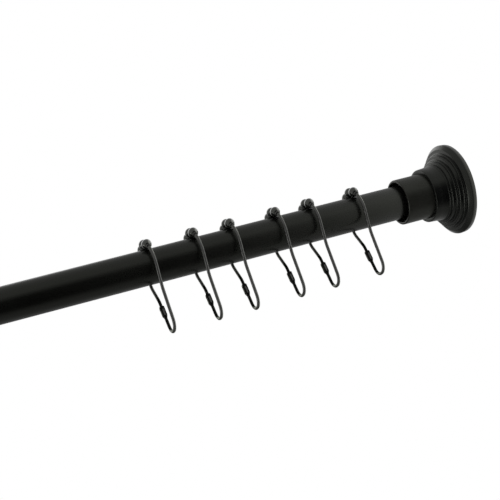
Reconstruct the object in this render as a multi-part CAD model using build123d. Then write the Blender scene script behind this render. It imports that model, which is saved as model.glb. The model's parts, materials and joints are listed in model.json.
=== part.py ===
"""Extendable shower curtain rod: telescoping tubes, wall ends with stepped covers, and roller hooks.

Millimetres. X runs along the rod and Z is up. The origin is the centre of the fixed end's wall face,
and the rod runs from there towards -X.
"""

import os
from math import asin, atan2, cos, degrees, radians, sin, sqrt, tan

from build123d import *

# Tubes
TUBE_R = 12.7
TUBE_WALL = 0.9
TUBE_LENGTH = 620.0
INNER_WALL = 0.8
INNER_LENGTH = 610.0
ROD_LENGTH = 800.0  # from wall face to wall face, as stored

# Fits, as gaps on the radius or between faces
PUSH_FIT = 0.05
RUNNING_FIT = 0.1
SLIDE_FIT = 0.15
FACE_GAP = 0.1

# Guide bush in the mouth of the outer tube
BUSH_WALL = 0.65
BUSH_LIP = 6.0
BUSH_LIP_OVERHANG = 0.6
BUSH_LIP_ROUND = 0.8
BUSH_SLEEVE = 16.0

# End socket and its rubber pad
PAD_R = 24.0
PAD_THICK = 3.0
PAD_PROUD = 1.0
PAD_GROOVES = 3
PAD_GROOVE_WIDTH = 2.4
PAD_GROOVE_DEPTH = 0.8
PAD_CENTRE_R = 8.0
CUP_WALL = 1.9
SOCKET_FLOOR = 2.5
COLLAR_WALL = 4.5
COLLAR_MOUTH = 48.6  # from the wall face
COLLAR_LIP_ROUND = 0.8
MOUTH_STEP = 2.65  # from the tube's bore out to the recess round it
MOUTH_DEPTH = 8.0
RIBS = 8
RIB_THICK = 1.8
RIB_REACH = 6.0
RIB_HEIGHT = 5.0
RIB_ROOT = 0.5  # how far a rib is rooted in the collar

# Stepped cover, from the wall out to the neck's mouth
COVER_BACK = 0.5  # from the wall face
COVER_WALL = 1.9
RIM_R = 34.75
RIM_LAND = 3.5
RIM_ROUND = 0.8  # from the rim's corner to each end of its round
RIM_LENGTH = 1.8  # along the rod, from the land to the first step
RIM_FALL = 2.0  # from the land in to the first step
FACE_STEPS = 4
STEP_LENGTH = 2.36
STEP_FALL = 2.37
COVE_STEP_LENGTH = 2.36
COVE_STEP_FALL = 1.4
COVE_LENGTH = 4.4
COVE_HOLLOW = 0.15  # depth of the cove's curve
NECK_WALL = 3.0  # at the mouth
NECK_TAPER = 0.35
NECK_LENGTH = 4.7
NECK_LIP_ROUND = 0.8
BORE_LENGTH = 8.2

# Twist lock in the tubes
SCREW_R = 4.0
SCREW_SPARE = 50.0  # how far the screw reaches past the inner tube's end
HEAD_FLATS = 13.0
HEAD_THICK = 5.0
STOP_NUT_THICK = 6.5
STOP_NUT_INSET = 2.0
PLUG_FLANGE = 2.5
PLUG_LENGTH = 20.0
WASHER_GAP = 1.3  # to the bore of the outer tube
WASHER_THICK = 2.0
SPRING_LENGTH = 30.0
SPRING_R = 6.4
SPRING_WIRE = 1.6
SPRING_TURNS = 7
CONE_LENGTH = 14.0
CONE_TAPER = 2.4
CONE_STANDOFF = 3.0
SLEEVE_LENGTH = 30.0
SLEEVE_WALL = 2.4
SLEEVE_WEB = 4.0
SLEEVE_SLOT = 2.0
SLEEVE_SLOT_LENGTH = 20.0

# Roller hooks, their places along the rod and the bends of their wire
HOOK_X = (-248.6, -213.4, -185.1, -149.0, -121.3, -84.4)
WIRE_R = 1.15
BALL_R = 3.7
BALL_BORE_R = 1.65
BALLS = 3
BALL_SEAT_GAP = 0.1
BALL_SIDE_GAP = 0.1
BALL_LEAN = 4.0  # degrees from the top of the arc towards its front
CRIMP_R = 1.95
CRIMP_LENGTH = 1.0
FRONT_WRAP = 15.3  # degrees that the wire holds on round the tube, below its middle
BACK_WRAP = 4.8
FRONT_LEG_INSET = 4.7  # from the arc's front to the straight front leg
FRONT_BEND_R = 20.0
LOOP_DROP = 33.3  # from the underside of the arc to the lowest point
LOOP_WIDTH = 14.5
LOOP_BEND_R = 7.25
SHOULDER_RUN = 10.0
SHOULDER_BEND_R = 10.0
NECK_INSET = 8.0  # from the shoulder in to the back leg
NECK_DROP = 12.9
CATCH_RUN = 9.2  # down the back leg to the middle of the catch
CATCH_LENGTH = 10.0
CATCH_WIDTH = 3.6
CATCH_DEPTH = 3.4
CATCH_ROUND = 0.7
CATCH_EAR_R = 0.7
CATCH_EAR_INSET = 2.2
TIP_GAP = 0.5
CATCH_OVERLAP = 1.5

# Places that follow
FLOOR_DEPTH = PAD_THICK + SOCKET_FLOOR
TUBE_BORE_R = TUBE_R - TUBE_WALL
INNER_R = TUBE_BORE_R - PUSH_FIT - BUSH_WALL - RUNNING_FIT
INNER_BORE_R = INNER_R - INNER_WALL
COLLAR_R = TUBE_R + PUSH_FIT + COLLAR_WALL
MOUTH_R = TUBE_R + PUSH_FIT + MOUTH_STEP
RIM_EDGE = COVER_BACK + RIM_LAND
FACE_START = RIM_EDGE + RIM_LENGTH
FACE_R = RIM_R - RIM_FALL
COVE_STEP_START = FACE_START + FACE_STEPS * STEP_LENGTH
COVE_R = FACE_R - FACE_STEPS * STEP_FALL - COVE_STEP_FALL
COVE_START = COVE_STEP_START + COVE_STEP_LENGTH
NECK_START = COVE_START + COVE_LENGTH
NECK_MOUTH = NECK_START + NECK_LENGTH
WASHER_R = TUBE_BORE_R - WASHER_GAP
CONE_BIG_R = TUBE_BORE_R - SLEEVE_WALL
CONE_SMALL_R = CONE_BIG_R - CONE_TAPER
TUBE_END_X = -FLOOR_DEPTH - TUBE_LENGTH
INNER_END_X = -ROD_LENGTH + FLOOR_DEPTH + INNER_LENGTH
FLANGE_X = INNER_END_X + PLUG_FLANGE
WASHER_X = FLANGE_X + FACE_GAP
SPRING_X = WASHER_X + WASHER_THICK + FACE_GAP
CONE_X = SPRING_X + SPRING_LENGTH + FACE_GAP
SLEEVE_X = CONE_X + CONE_STANDOFF
SLEEVE_END_X = SLEEVE_X + SLEEVE_LENGTH
SCREW_END_X = INNER_END_X - PLUG_LENGTH - SCREW_SPARE
ARC_R = TUBE_R + BALL_SEAT_GAP + BALL_R
BALL_PITCH = degrees(2 * asin((2 * BALL_R + BALL_SIDE_GAP) / (2 * ARC_R)))
BALL_MIDDLE = 90 + BALL_LEAN
BALL_SPAN = BALL_PITCH * (BALLS - 1) / 2


def outline(corners):
    """Closed edges through (along, radius, bulge) corners. A bulge makes the run to the next corner an arc."""
    edges = []
    for here, after in zip(corners, corners[1:] + corners[:1]):
        start = Vector(here[0], here[1])
        end = Vector(after[0], after[1])
        bulge = here[2] if len(here) > 2 else 0.0
        if bulge:
            run = (end - start).normalized()
            middle = (start + end) * 0.5 + Vector(-run.Y, run.X) * bulge
            edges.append(ThreePointArc(start, middle, end))
        else:
            edges.append(Line(start, end))
    return edges


def turned(corners):
    """A solid turned about the rod's axis."""
    return revolve(make_face(outline(corners)), Axis.X)


def sleeve(start, end, outer, inner):
    """A plain ring from start to end along the rod."""
    return turned([(start, inner), (end, inner), (end, outer), (start, outer)])


def to_sliding_end(solid):
    """Carries a piece of the fixed end to the same place at the sliding end."""
    return Pos(-ROD_LENGTH, 0, 0) * Rot(0, 0, 180) * solid


def wall_pad():
    """Rubber disc with round grooves in the face that grips the wall."""
    pad = turned([(0, 0), (0, PAD_R), (-PAD_THICK, PAD_R), (-PAD_THICK, 0)])
    pitch = (PAD_R - PAD_CENTRE_R) / PAD_GROOVES
    for ring in range(PAD_GROOVES):
        inner = PAD_CENTRE_R + ring * pitch
        pad -= sleeve(-PAD_GROOVE_DEPTH, FACE_GAP, inner + PAD_GROOVE_WIDTH, inner)
    return pad


def end_socket(tube_r):
    """Moulded socket: a cup for the pad, a floor, and a collar that the tube is pushed into."""
    cup_r = PAD_R + PUSH_FIT
    bore_r = tube_r + PUSH_FIT
    lip_round = COLLAR_LIP_ROUND * (1 - sqrt(0.5))
    socket = turned(
        [
            (-PAD_THICK, 0),
            (-PAD_THICK, cup_r),
            (-PAD_PROUD, cup_r),
            (-PAD_PROUD, cup_r + CUP_WALL),
            (-FLOOR_DEPTH, cup_r + CUP_WALL),
            (-FLOOR_DEPTH, COLLAR_R),
            (COLLAR_LIP_ROUND - COLLAR_MOUTH, COLLAR_R, -lip_round),
            (-COLLAR_MOUTH, COLLAR_R - COLLAR_LIP_ROUND),
            (-COLLAR_MOUTH, MOUTH_R),
            (MOUTH_DEPTH - COLLAR_MOUTH, MOUTH_R),
            (MOUTH_DEPTH - COLLAR_MOUTH, bore_r),
            (-FLOOR_DEPTH, bore_r),
            (-FLOOR_DEPTH, 0),
        ]
    )
    root_r = COLLAR_R - RIB_ROOT
    side = Polyline(
        (-FLOOR_DEPTH, root_r),
        (-FLOOR_DEPTH, COLLAR_R + RIB_REACH),
        (-FLOOR_DEPTH - RIB_HEIGHT, COLLAR_R),
        (-FLOOR_DEPTH - RIB_HEIGHT, root_r),
        close=True,
    )
    rib = extrude(make_face(side), RIB_THICK / 2, both=True)
    for turn in range(RIBS):
        socket += Rot(360 / RIBS * turn, 0, 0) * rib
    return socket


def face_steps():
    """Corners of the cover's steps, from the rim in to the cove: each step runs along the rod, then in."""
    corners = [(-FACE_START, FACE_R)]
    for step in range(1, FACE_STEPS + 1):
        radius = FACE_R - step * STEP_FALL
        corners.append((-FACE_START - (step - 1) * STEP_LENGTH, radius))
        corners.append((-FACE_START - step * STEP_LENGTH, radius))
    return corners + [(-COVE_STEP_START, COVE_R)]


def flange_cover():
    """Thin turned cover: a rounded rim, a face of steps, a cove, and a neck that slides on the collar."""
    slope = Vector(STEP_FALL, STEP_LENGTH).normalized() * COVER_WALL
    lip_round = NECK_LIP_ROUND * (1 - sqrt(0.5))
    half_turn = atan2(RIM_FALL, RIM_LENGTH) / 2
    rim_round = RIM_ROUND * (1 - cos(half_turn)) / tan(half_turn)
    rim_run = Vector(-RIM_LENGTH, -RIM_FALL).normalized() * RIM_ROUND
    neck_bore_r = COLLAR_R + SLIDE_FIT
    neck_mouth_r = neck_bore_r + NECK_WALL
    rim_bore_r = RIM_R - COVER_WALL
    first_corner, last_corner = face_steps()[1], face_steps()[-1]
    corners = [
        (-COVER_BACK, RIM_R),
        (RIM_ROUND - RIM_EDGE, RIM_R, -rim_round),
        (rim_run.X - RIM_EDGE, rim_run.Y + RIM_R),
        *face_steps(),
        (-COVE_START, COVE_R, COVE_HOLLOW),
        (-NECK_START, neck_mouth_r + NECK_TAPER),
        (NECK_LIP_ROUND - NECK_MOUTH, neck_mouth_r, -lip_round),
        (-NECK_MOUTH, neck_mouth_r - NECK_LIP_ROUND),
        (-NECK_MOUTH, neck_bore_r),
        (BORE_LENGTH - NECK_MOUTH, neck_bore_r),
        (last_corner[0] + slope.X, last_corner[1] - slope.Y),
        (first_corner[0] + slope.X, first_corner[1] - slope.Y),
        (COVER_WALL / 2 - RIM_EDGE, rim_bore_r),
        (-COVER_BACK, rim_bore_r),
    ]
    return turned(corners)


def guide_bush():
    """Bush pushed into the outer tube's mouth; the inner tube runs in it."""
    bore_r = INNER_R + RUNNING_FIT
    lip_r = TUBE_R + BUSH_LIP_OVERHANG
    lip_round = BUSH_LIP_ROUND * (1 - sqrt(0.5))
    return turned(
        [
            (TUBE_END_X + BUSH_SLEEVE, bore_r),
            (TUBE_END_X + BUSH_SLEEVE, TUBE_BORE_R - PUSH_FIT),
            (TUBE_END_X, TUBE_BORE_R - PUSH_FIT),
            (TUBE_END_X, lip_r),
            (TUBE_END_X - BUSH_LIP + BUSH_LIP_ROUND, lip_r, -lip_round),
            (TUBE_END_X - BUSH_LIP, lip_r - BUSH_LIP_ROUND),
            (TUBE_END_X - BUSH_LIP, bore_r),
        ]
    )


def hexagon(start, thick, bore_r=0.0):
    """Hexagonal head or nut on the rod's axis."""
    flats = RegularPolygon(HEAD_FLATS / 2, 6, major_radius=False)
    solid = extrude(Plane.YZ.offset(start) * flats, thick)
    if bore_r:
        solid -= sleeve(start - FACE_GAP, start + thick + FACE_GAP, bore_r, 0)
    return solid


def tension_screw():
    """Long screw whose hexagonal head bears on the expanding sleeve."""
    shank = sleeve(SCREW_END_X, SLEEVE_END_X, SCREW_R, 0)
    return shank + hexagon(SLEEVE_END_X, HEAD_THICK)


def nut_plug():
    """Threaded plug in the end of the inner tube."""
    bore_r = SCREW_R + PUSH_FIT
    body_r = INNER_BORE_R - PUSH_FIT
    return turned(
        [
            (FLANGE_X, bore_r),
            (FLANGE_X, INNER_R),
            (INNER_END_X, INNER_R),
            (INNER_END_X, body_r),
            (INNER_END_X - PLUG_LENGTH, body_r),
            (INNER_END_X - PLUG_LENGTH, bore_r),
        ]
    )


def tension_spring():
    """Compression spring of square wire on the screw, between the cone and the washer."""
    rise = SPRING_LENGTH - SPRING_WIRE
    coil = Helix(rise / SPRING_TURNS, rise, SPRING_R)
    section = Plane(coil @ 0, x_dir=(1, 0, 0), z_dir=coil % 0) * Rectangle(SPRING_WIRE, SPRING_WIRE)
    spring = sweep(section, path=coil, is_frenet=True)
    return Pos(SPRING_X + SPRING_WIRE / 2, 0, 0) * Rot(0, 90, 0) * spring


def expander_cone():
    """Cone on the screw that spreads the sleeve."""
    bore_r = SCREW_R + PUSH_FIT
    end = CONE_X + CONE_LENGTH
    return turned([(CONE_X, bore_r), (end, bore_r), (end, CONE_SMALL_R), (CONE_X, CONE_BIG_R)])


def expander_sleeve():
    """Slotted sleeve that grips the bore of the outer tube when the cone is drawn into it."""
    slope = (CONE_BIG_R - CONE_SMALL_R) / CONE_LENGTH
    mouth_r = CONE_BIG_R - slope * CONE_STANDOFF + FACE_GAP
    throat_r = CONE_SMALL_R + FACE_GAP
    grip_r = TUBE_BORE_R - RUNNING_FIT
    body = turned(
        [
            (SLEEVE_X, mouth_r),
            (CONE_X + CONE_LENGTH, throat_r),
            (SLEEVE_END_X - SLEEVE_WEB, throat_r),
            (SLEEVE_END_X - SLEEVE_WEB, SCREW_R + PUSH_FIT),
            (SLEEVE_END_X, SCREW_R + PUSH_FIT),
            (SLEEVE_END_X, grip_r),
            (SLEEVE_X, grip_r),
        ]
    )
    cut = Pos(SLEEVE_X, 0, 0) * Box(2 * SLEEVE_SLOT_LENGTH, SLEEVE_SLOT, 3 * grip_r)
    return body - cut - Rot(90, 0, 0) * cut


def arc_point(angle):
    """Place on the hook's arc, in its own plane, with the angle counted from the back over the top."""
    return Vector(ARC_R * cos(radians(angle)), ARC_R * sin(radians(angle)))


def hook_frame():
    """The corners of the hook's wire in its own plane: across the rod, then up."""
    back = arc_point(-BACK_WRAP)
    front = arc_point(180 + FRONT_WRAP)
    back_down = Vector(-sin(radians(BACK_WRAP)), -cos(radians(BACK_WRAP)))
    shoulder = back + back_down * SHOULDER_RUN
    neck = shoulder + Vector(-NECK_INSET, -NECK_DROP)
    front_leg = FRONT_LEG_INSET - ARC_R
    fall = (front_leg - front.X) / sin(radians(FRONT_WRAP))
    front_bend = front + Vector(sin(radians(FRONT_WRAP)), -cos(radians(FRONT_WRAP))) * fall
    low = -ARC_R - LOOP_DROP
    front_low = Vector(front_leg, low)
    back_low = Vector(front_leg + LOOP_WIDTH, low)
    leg = (back_low - neck).normalized()
    catch = neck + leg * CATCH_RUN
    return back, shoulder, neck, catch, leg, back_low, front_low, front_bend, front


def hook_wire():
    """One bent wire: snap tip, shoulder, arc over the tube, front leg, loop for the curtain, and catch."""
    back, shoulder, neck, catch, leg, back_low, front_low, front_bend, front = hook_frame()
    tip = FilletPolyline(catch, neck, shoulder, back, radius=SHOULDER_BEND_R)
    arc = CenterArc((0, 0), ARC_R, -BACK_WRAP, 180 + BACK_WRAP + FRONT_WRAP)
    root = catch + leg * CATCH_OVERLAP
    loop_radii = [FRONT_BEND_R, LOOP_BEND_R, LOOP_BEND_R]
    loop = FilletPolyline(front, front_bend, front_low, back_low, root, radius=loop_radii)
    path = Plane.YZ * Wire(tip.edges() + arc.edges() + loop.edges())
    wire = sweep(Plane(path @ 0, z_dir=path % 0) * Circle(WIRE_R), path=path)
    ball_half = sqrt(BALL_R**2 - BALL_BORE_R**2)
    stop_angle = BALL_SPAN + degrees((ball_half + BALL_SIDE_GAP + CRIMP_LENGTH) / ARC_R)
    for angle in (BALL_MIDDLE - stop_angle, BALL_MIDDLE + stop_angle):
        wire += on_arc(angle) * Cylinder(CRIMP_R, CRIMP_LENGTH)
    return wire + hook_catch(catch, leg)


def on_arc(angle):
    """Location on the hook's arc with Z along the wire."""
    place = arc_point(angle)
    along = Vector(0, -sin(radians(angle)), cos(radians(angle)))
    return Location(Plane((0, place.X, place.Y), x_dir=(1, 0, 0), z_dir=along))


def hook_catch(catch, leg):
    """Flattened end of the wire with a channel that the tip snaps into."""
    outward = Vector(0, -leg.Y, leg.X)
    bed = Plane((0, catch.X, catch.Y), x_dir=(0, leg.X, leg.Y), z_dir=outward)
    body = extrude(SlotOverall(CATCH_LENGTH, CATCH_WIDTH), CATCH_DEPTH / 2, both=True)
    body = fillet(body.edges(), CATCH_ROUND)
    body += Pos(CATCH_EAR_INSET - CATCH_LENGTH / 2, CATCH_WIDTH / 2, 0) * Sphere(CATCH_EAR_R)
    channel_r = WIRE_R + SLIDE_FIT
    channel = Pos(TIP_GAP - CATCH_LENGTH / 2, 0, 0) * Rot(0, 90, 0) * Cylinder(channel_r, CATCH_LENGTH)
    mouth = Box(CATCH_LENGTH, 2 * channel_r, CATCH_DEPTH, align=(Align.CENTER, Align.CENTER, Align.MIN))
    return bed * (body - channel - Pos(TIP_GAP - CATCH_LENGTH / 2, 0, 0) * mouth)


def hook_ball(angle):
    """Bored ball that rolls along the tube and turns on the wire."""
    return on_arc(angle) * (Sphere(BALL_R) - Cylinder(BALL_BORE_R, 3 * BALL_R))


def rod_pieces():
    """Every piece of the rod itself, by name."""
    return {
        "outer_tube": sleeve(TUBE_END_X, -FLOOR_DEPTH, TUBE_R, TUBE_BORE_R),
        "inner_tube": sleeve(FLOOR_DEPTH - ROD_LENGTH, INNER_END_X, INNER_R, INNER_BORE_R),
        "guide_bush": guide_bush(),
        "fixed_end_socket": end_socket(TUBE_R),
        "fixed_wall_pad": wall_pad(),
        "fixed_flange_cover": flange_cover(),
        "sliding_end_socket": to_sliding_end(end_socket(INNER_R)),
        "sliding_wall_pad": to_sliding_end(wall_pad()),
        "sliding_flange_cover": to_sliding_end(flange_cover()),
        "nut_plug": nut_plug(),
        "thrust_washer": sleeve(WASHER_X, WASHER_X + WASHER_THICK, WASHER_R, SCREW_R + SLIDE_FIT),
        "tension_spring": tension_spring(),
        "expander_cone": expander_cone(),
        "expander_sleeve": expander_sleeve(),
        "tension_screw": tension_screw(),
        "screw_stop_nut": hexagon(SCREW_END_X + STOP_NUT_INSET, STOP_NUT_THICK, SCREW_R + PUSH_FIT),
    }


def hook_pieces():
    """The wire and balls of every hook, by name."""
    wire = hook_wire()
    first_angle = BALL_MIDDLE + BALL_SPAN
    balls = [hook_ball(first_angle - BALL_PITCH * k) for k in range(BALLS)]
    pieces = {}
    for number, x in enumerate(HOOK_X, start=1):
        pieces[f"hook_{number}_wire"] = Pos(x, 0, 0) * wire
        for k, ball in enumerate(balls, start=1):
            pieces[f"hook_{number}_ball_{k}"] = Pos(x, 0, 0) * ball
    return pieces


os.makedirs("parts", exist_ok=True)
for name, solid in {**rod_pieces(), **hook_pieces()}.items():
    export_step(solid, f"parts/{name}.step")
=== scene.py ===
"""Extendable shower curtain rod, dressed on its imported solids.

Metres, in the frame of the solids: X runs along the rod, Z is up, and the origin is the centre of
the fixed end's wall face. Tubes, wall ends, twist lock and roller hooks are each a class that makes
its meshes and gives them their finishes.
"""

import json
import logging
from dataclasses import dataclass, field
from enum import Enum
from math import asin, atan, cos, degrees, pi, radians, sin, sqrt
from typing import Iterable, Sequence

import bmesh
import bpy
from mathutils import Matrix, Vector


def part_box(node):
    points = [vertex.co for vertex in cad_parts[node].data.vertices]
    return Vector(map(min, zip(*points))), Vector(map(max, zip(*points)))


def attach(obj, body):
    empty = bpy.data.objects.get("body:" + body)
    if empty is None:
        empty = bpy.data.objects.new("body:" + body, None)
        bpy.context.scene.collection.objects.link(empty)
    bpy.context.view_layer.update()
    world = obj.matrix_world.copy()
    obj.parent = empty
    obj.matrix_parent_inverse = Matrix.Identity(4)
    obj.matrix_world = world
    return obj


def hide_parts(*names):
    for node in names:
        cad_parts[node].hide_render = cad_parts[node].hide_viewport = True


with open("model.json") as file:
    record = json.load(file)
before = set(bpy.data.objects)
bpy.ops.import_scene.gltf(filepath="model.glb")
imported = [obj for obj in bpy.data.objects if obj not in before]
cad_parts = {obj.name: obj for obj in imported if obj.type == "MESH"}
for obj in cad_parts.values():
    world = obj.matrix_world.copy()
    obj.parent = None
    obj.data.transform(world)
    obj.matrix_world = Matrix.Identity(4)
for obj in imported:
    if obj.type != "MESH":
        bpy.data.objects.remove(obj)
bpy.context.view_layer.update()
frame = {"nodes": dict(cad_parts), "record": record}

LOG = logging.getLogger("curtain_rod")
MM = 0.001
PATH_RADIUS = 10 * MM  # of the ring that a turned outline is carried round
WELD = 1e-6  # points nearer than this are one
SMOOTH_ANGLE = radians(32)  # edges flatter than this are shaded as one surface
MIDDLE = 0.5  # of a noise, which runs from 0 to 1
BODY_OF = {
    node: body for body, nodes in frame["record"]["behaviour"]["bodies"].items() for node in nodes
}

Colour = tuple[float, float, float]
Sockets = dict[str | int, object]
Settings = dict[str, object]


class Slot(Enum):
    """The record's material slots."""

    POWDER_COAT = "powder_coat"
    SOCKET_PLASTIC = "socket_plastic"
    COVER_PLASTIC = "cover_plastic"
    BUSH_PLASTIC = "bush_plastic"
    PAD_RUBBER = "pad_rubber"
    HOOK_WIRE = "hook_wire"
    ROLLER_BALL = "roller_ball"
    NYLON = "nylon"
    ZINC_STEEL = "zinc_steel"
    SPRING_STEEL = "spring_steel"


class End(Enum):
    """The rod's two wall ends, by the first word of their nodes."""

    FIXED = "fixed"
    SLIDING = "sliding"


class Detail(Enum):
    """How finely a noise is broken up."""

    SMOOTH = 1.0
    SOFT = 2.0
    BROKEN = 3.0
    CLOUDY = 4.0


class Measure(Enum):
    """The places on a wire that its finish reads, by the spline parameter that gives them."""

    ALONG = "Length"
    AROUND = "Factor"


class Signal:
    """A node's output that can stand in a Python expression."""

    def __init__(self, graph: "Graph", socket: bpy.types.NodeSocket) -> None:
        """Keeps the socket and the graph that new nodes go into."""
        self.graph = graph
        self.socket = socket

    def out(self, name: str) -> "Signal":
        """Another output of the same node."""
        return Signal(self.graph, self.socket.node.outputs[name])

    def maths(self, operation: str, first: object, second: object) -> "Signal":
        """A Math node on two values."""
        return self.graph.node("ShaderNodeMath", {"operation": operation}, {0: first, 1: second})

    def __add__(self, other: object) -> "Signal":
        """The sum of this and another value."""
        return self.maths("ADD", self, other)

    def __radd__(self, other: object) -> "Signal":
        """The sum of another value and this."""
        return self.maths("ADD", other, self)

    def __sub__(self, other: object) -> "Signal":
        """This less another value."""
        return self.maths("SUBTRACT", self, other)

    def __rsub__(self, other: object) -> "Signal":
        """Another value less this."""
        return self.maths("SUBTRACT", other, self)

    def __mul__(self, other: object) -> "Signal":
        """The product of this and another value."""
        return self.maths("MULTIPLY", self, other)

    def __rmul__(self, other: object) -> "Signal":
        """The product of another value and this."""
        return self.maths("MULTIPLY", other, self)

    def __truediv__(self, other: object) -> "Signal":
        """This divided by another value."""
        return self.maths("DIVIDE", self, other)

    def __rtruediv__(self, other: object) -> "Signal":
        """Another value divided by this."""
        return self.maths("DIVIDE", other, self)

    def share(self, reach: tuple[float, float]) -> "Signal":
        """How far this value has come from one end of a reach to the other, from 0 to 1."""
        start, end = reach
        return self.graph.node("ShaderNodeClamp", {}, {"Value": (self - start) / (end - start)})


class Graph:
    """A node tree that is filled by plain calls."""

    def __init__(self, tree: bpy.types.NodeTree) -> None:
        """Keeps the tree."""
        self.tree = tree

    def node(
        self, kind: str, settings: Settings | None = None, sockets: Sockets | None = None
    ) -> Signal | None:
        """Adds one node.

        Args:
            kind: The node's type.
            settings: Its properties, set first; "stops" are a ramp's (place, grey level) pairs.
            sockets: Values or signals for its inputs, by name or index.

        Returns:
            The node's first enabled output, or None where it has no output.
        """
        made = self.tree.nodes.new(kind)
        for name, value in (settings or {}).items():
            if name == "stops":
                self.set_stops(made.color_ramp, value)
            else:
                setattr(made, name, value)
        for name, value in (sockets or {}).items():
            if isinstance(value, Signal):
                self.tree.links.new(value.socket, made.inputs[name])
            else:
                made.inputs[name].default_value = value
        shown = [socket for socket in made.outputs if socket.enabled]
        return Signal(self, shown[0]) if shown else None

    @staticmethod
    def set_stops(ramp: bpy.types.ColorRamp, stops: Sequence[tuple[float, float]]) -> None:
        """Gives a ramp its grey stops.

        Args:
            ramp: The ramp.
            stops: Its (place, grey level) pairs.
        """
        while len(ramp.elements) < len(stops):
            ramp.elements.new(1.0)
        for element, (place, level) in zip(ramp.elements, stops):
            element.position = place
            element.color = (level, level, level, 1.0)

    def mix_colour(self, share: object, first: object, second: object) -> Signal:
        """A colour between two colours."""
        full = [(*c, 1.0) if isinstance(c, tuple) else c for c in (first, second)]
        return self.node("ShaderNodeMix", {"data_type": "RGBA"}, {0: share, 6: full[0], 7: full[1]})

    def vector(self, operation: str, first: object, second: object) -> Signal:
        """A Vector Math node on two vectors."""
        return self.node("ShaderNodeVectorMath", {"operation": operation}, {0: first, 1: second})

    def noise(self, place: Signal, size: float, detail: Detail = Detail.SOFT) -> Signal:
        """Noise from 0 to 1 whose lumps are about the given size in the place's units."""
        sockets = {"Vector": place, "Scale": 1 / size, "Detail": detail.value}
        return self.node("ShaderNodeTexNoise", {}, sockets)

    def bump(self, height: Signal, depth: float, strength: float) -> Signal:
        """A normal that is tilted by a height, whose full range is the given depth in metres."""
        sockets = {"Strength": strength, "Distance": depth, "Height": height}
        return self.node("ShaderNodeBump", {}, sockets)

    def object_place(self) -> Signal:
        """The place on the piece in its own frame."""
        return self.node("ShaderNodeTexCoord").out("Object")


class GeometryTree(Graph):
    """A geometry node tree with named inputs, which makes plain meshes."""

    SOCKETS = {int: "NodeSocketInt", float: "NodeSocketFloat", type(None): "NodeSocketMaterial"}

    def __init__(self, name: str, sizes: dict[str, int | float]) -> None:
        """Makes the empty tree.

        Args:
            name: The tree's name.
            sizes: Its named inputs with their usual values.
        """
        tree = bpy.data.node_groups.new(name, "GeometryNodeTree")
        super().__init__(tree)
        self.name = name
        self.usual = dict(sizes)
        tree.interface.new_socket("Geometry", in_out="INPUT", socket_type="NodeSocketGeometry")
        tree.interface.new_socket("Geometry", in_out="OUTPUT", socket_type="NodeSocketGeometry")
        self.identifiers = {}
        for label, value in {**sizes, "Material": None}.items():
            kind = self.SOCKETS[type(value)]
            socket = tree.interface.new_socket(label, in_out="INPUT", socket_type=kind)
            self.identifiers[label] = socket.identifier
        self.source = self.node("NodeGroupInput")

    def end(self, shape: Signal) -> None:
        """Smooths the shape by its edge angles, realizes it, sets its material and ends the tree.

        Args:
            shape: What the tree has made.
        """
        angle = self.node("GeometryNodeInputMeshEdgeAngle")
        limits = {0: angle, 1: SMOOTH_ANGLE}
        flat = self.node("FunctionNodeCompare", {"operation": "LESS_THAN"}, limits)
        shape = self.node("GeometryNodeSetShadeSmooth", {"domain": "FACE"}, {"Geometry": shape})
        sockets = {"Geometry": shape, "Shade Smooth": flat}
        shape = self.node("GeometryNodeSetShadeSmooth", {"domain": "EDGE"}, sockets)
        shape = self.node("GeometryNodeRealizeInstances", {}, {"Geometry": shape})
        material = self.source.out("Material")
        shape = self.node("GeometryNodeSetMaterial", {}, {"Geometry": shape, "Material": material})
        self.node("NodeGroupOutput", {}, {"Geometry": shape})

    def corner_curve(self, steps: Signal) -> Signal:
        """The input polyline as a curve, with each corner rounded by its own "round" radius.

        Args:
            steps: The number of points that round a corner.

        Returns:
            The curve.
        """
        curve = self.node("GeometryNodeMeshToCurve", {}, {"Mesh": self.source})
        kind = {"data_type": "FLOAT"}
        radius = self.node("GeometryNodeInputNamedAttribute", kind, {"Name": "round"})
        sockets = {"Curve": curve, "Count": steps, "Radius": radius, "Limit Radius": True}
        return self.node("GeometryNodeFilletCurve", {"mode": "POLY"}, sockets)

    def make(
        self, base: bpy.types.Mesh, material: bpy.types.Material, **sizes: int | float
    ) -> bpy.types.Mesh:
        """Runs the tree on a base mesh.

        Args:
            base: What the tree starts from; it is used up.
            material: The finish that the tree sets.
            sizes: Named inputs that differ from the usual ones, with _ for a space.

        Returns:
            The finished plain mesh with its faces outwards.
        """
        carrier = bpy.data.objects.new(self.name, base)
        bpy.context.scene.collection.objects.link(carrier)
        modifier = carrier.modifiers.new(self.name, "NODES")
        modifier.node_group = self.tree
        own = {label.replace("_", " "): value for label, value in sizes.items()}
        for label, value in {**self.usual, **own, "Material": material}.items():
            modifier[self.identifiers[label]] = value
        depsgraph = bpy.context.evaluated_depsgraph_get()
        mesh = bpy.data.meshes.new_from_object(
            carrier.evaluated_get(depsgraph), preserve_all_data_layers=True, depsgraph=depsgraph
        )
        carrier.modifiers.remove(modifier)
        bpy.data.objects.remove(carrier)
        bpy.data.meshes.remove(base)
        return outward(mesh)


class TurnedTree(GeometryTree):
    """Carries an outline round the rod's axis."""

    def __init__(self) -> None:
        """Builds the tree."""
        super().__init__("turned_piece", {"Segments": 96, "Round Steps": 4})
        outline = self.corner_curve(self.source.out("Round Steps"))
        sockets = {"Resolution": self.source.out("Segments"), "Radius": PATH_RADIUS}
        ring = self.node("GeometryNodeCurvePrimitiveCircle", {}, sockets)
        shape = self.node("GeometryNodeCurveToMesh", {}, {"Curve": ring, "Profile Curve": outline})
        sockets = {"Geometry": shape, "Rotation": (0, -pi / 2, 0)}
        shape = self.node("GeometryNodeTransform", {}, sockets)
        sockets = {"Geometry": shape, "Distance": WELD}
        self.end(self.node("GeometryNodeMergeByDistance", {}, sockets))


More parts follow.
